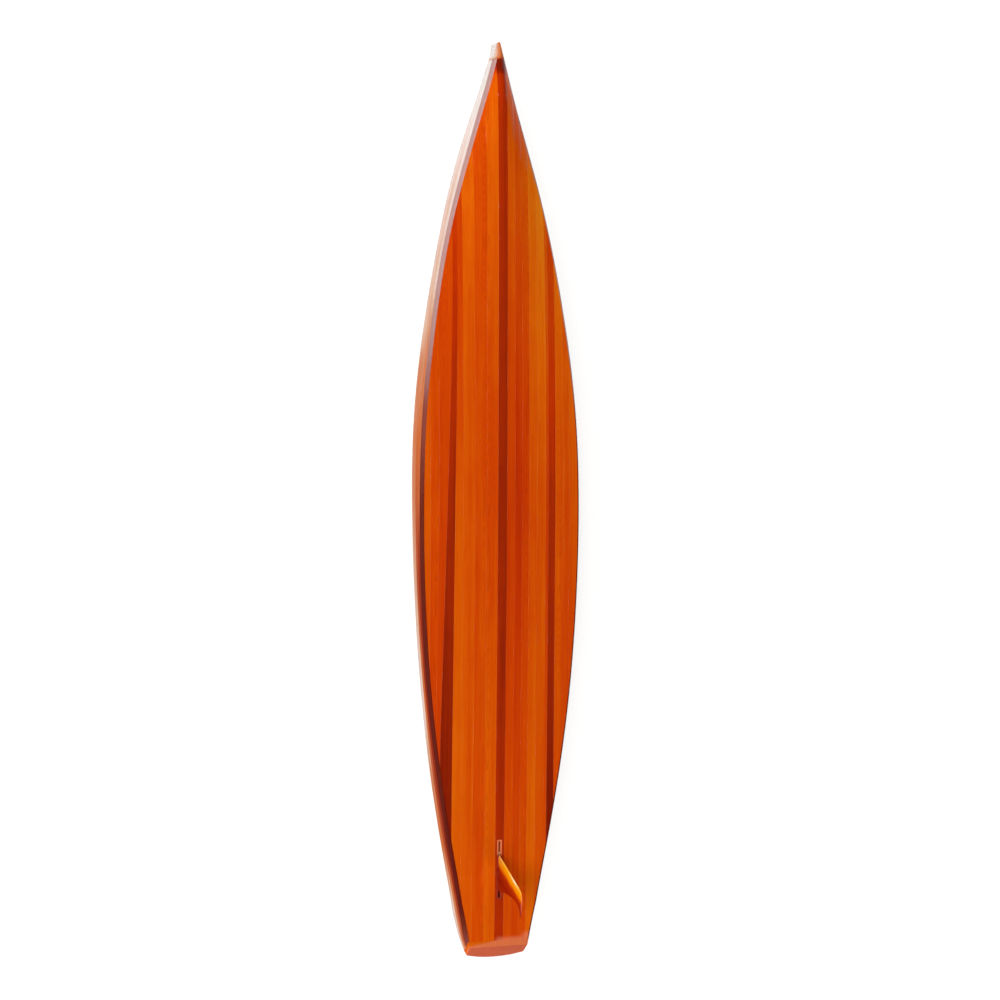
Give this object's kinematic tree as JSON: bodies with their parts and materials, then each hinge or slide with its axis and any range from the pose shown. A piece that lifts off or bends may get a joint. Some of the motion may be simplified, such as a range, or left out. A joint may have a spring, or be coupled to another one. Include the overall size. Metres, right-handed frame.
{
  "type": "wooden stand-up paddle board",
  "caption": "Hollow strip-built wooden stand-up paddle board with a pointed bow, flat bottom, square raked tail and a single raked fin.",
  "frame": {"origin": "on the floor under the middle of the board's plan, as it lies deck-down", "axes": "+Z away from the floor, the way the fin points, out of the bottom of the board; +Y to the nose, -Y to the tail; +X to the right when looking at the bottom with the nose up"},
  "size_m": [0.801, 4.267, 0.3944],
  "materials": {
    "cedar": "red-orange cedar strips under glossy varnish",
    "cedar_dark": "dark red-brown cedar under glossy varnish",
    "cedar_pale": "pale wood under glossy varnish",
    "walnut": "dark walnut under glossy varnish",
    "plywood": "bare plywood",
    "fin_wood": "golden laminated wood under glossy varnish",
    "box_plastic": "satin brown plastic",
    "black_plastic": "satin black plastic",
    "rubber": "black seal rubber",
    "stainless": "stainless steel",
    "brass": "satin brass"
  },
  "bodies": {
    "root": {"bottom_centre_strip_front": "cedar_dark", "bottom_centre_strip_rear": "cedar_dark", "bottom_left_dark_strip": "cedar_dark", "bottom_left_inner": "cedar", "bottom_left_outer": "cedar", "bottom_right_dark_strip": "cedar_dark", "bottom_right_inner": "cedar", "bottom_right_outer": "cedar", "centre_spar_front": "plywood", "centre_spar_rear": "plywood", "chine_strip_left": "walnut", "chine_strip_right": "walnut", "deck_centre_strip_front": "cedar_dark", "deck_centre_strip_rear": "cedar_dark", "deck_centre_strip_tail": "cedar_dark", "deck_left_dark_strip": "cedar_dark", "deck_left_inner": "cedar", "deck_left_outer": "cedar", "deck_right_dark_strip": "cedar_dark", "deck_right_inner": "cedar", "deck_right_outer": "cedar", "fin_block": "plywood", "fin_box": "box_plastic", "handle_block": "plywood", "handle_cup": "black_plastic", "leash_bar": "stainless", "leash_block": "plywood", "leash_cup": "black_plastic", "nose_block": "cedar_pale", "rail_left": "cedar", "rail_right": "cedar", "rib_1": "plywood", "rib_10": "plywood", "rib_2": "plywood", "rib_3": "plywood", "rib_4": "plywood", "rib_5": "plywood", "rib_6": "plywood", "rib_7": "plywood", "rib_8": "plywood", "rib_9": "plywood", "tail_block": "cedar_dark", "vent_block": "plywood", "vent_insert": "brass"},
    "fin": {"fin": "fin_wood", "fin_roll_pin": "stainless"},
    "fin_nut": {"fin_nut_plate": "brass"},
    "fin_screw": {"fin_screw": "stainless"},
    "vent_ring": {"vent_seal": "rubber"},
    "vent_plug": {"vent_plug": "brass"}
  },
  "joints": [
    {"name": "fin_slide", "type": "slide", "parent": "root", "child": "fin", "axis": [0, 0.9998, 0.0174], "range_m": [-0.025, 0.04]},
    {"name": "fin_screw_turn", "type": "hinge", "parent": "fin", "child": "fin_screw", "pos_m": [0, -1.64401, 0.1481], "axis": [0, -0.0174, 0.9998], "range_deg": [0, 720.1]},
    {"name": "fin_nut_travel", "type": "slide", "parent": "fin", "child": "fin_nut", "axis": [0, 0.0174, -0.9998], "range_m": [0, 0.0014]},
    {"name": "vent_lift", "type": "slide", "parent": "root", "child": "vent_ring", "axis": [0, 0, -1], "range_m": [0, 0.0045]},
    {"name": "vent_turn", "type": "hinge", "parent": "vent_ring", "child": "vent_plug", "pos_m": [0, -0.1, 0.011], "axis": [0, 0, -1], "range_deg": [0, 1080.1]}
  ],
  "couplings": [
    {"joint": "fin_screw_turn", "follows": "fin_nut_travel", "rad_per_m": 8976},
    {"joint": "vent_turn", "follows": "vent_lift", "rad_per_m": 4188.8}
  ]
}
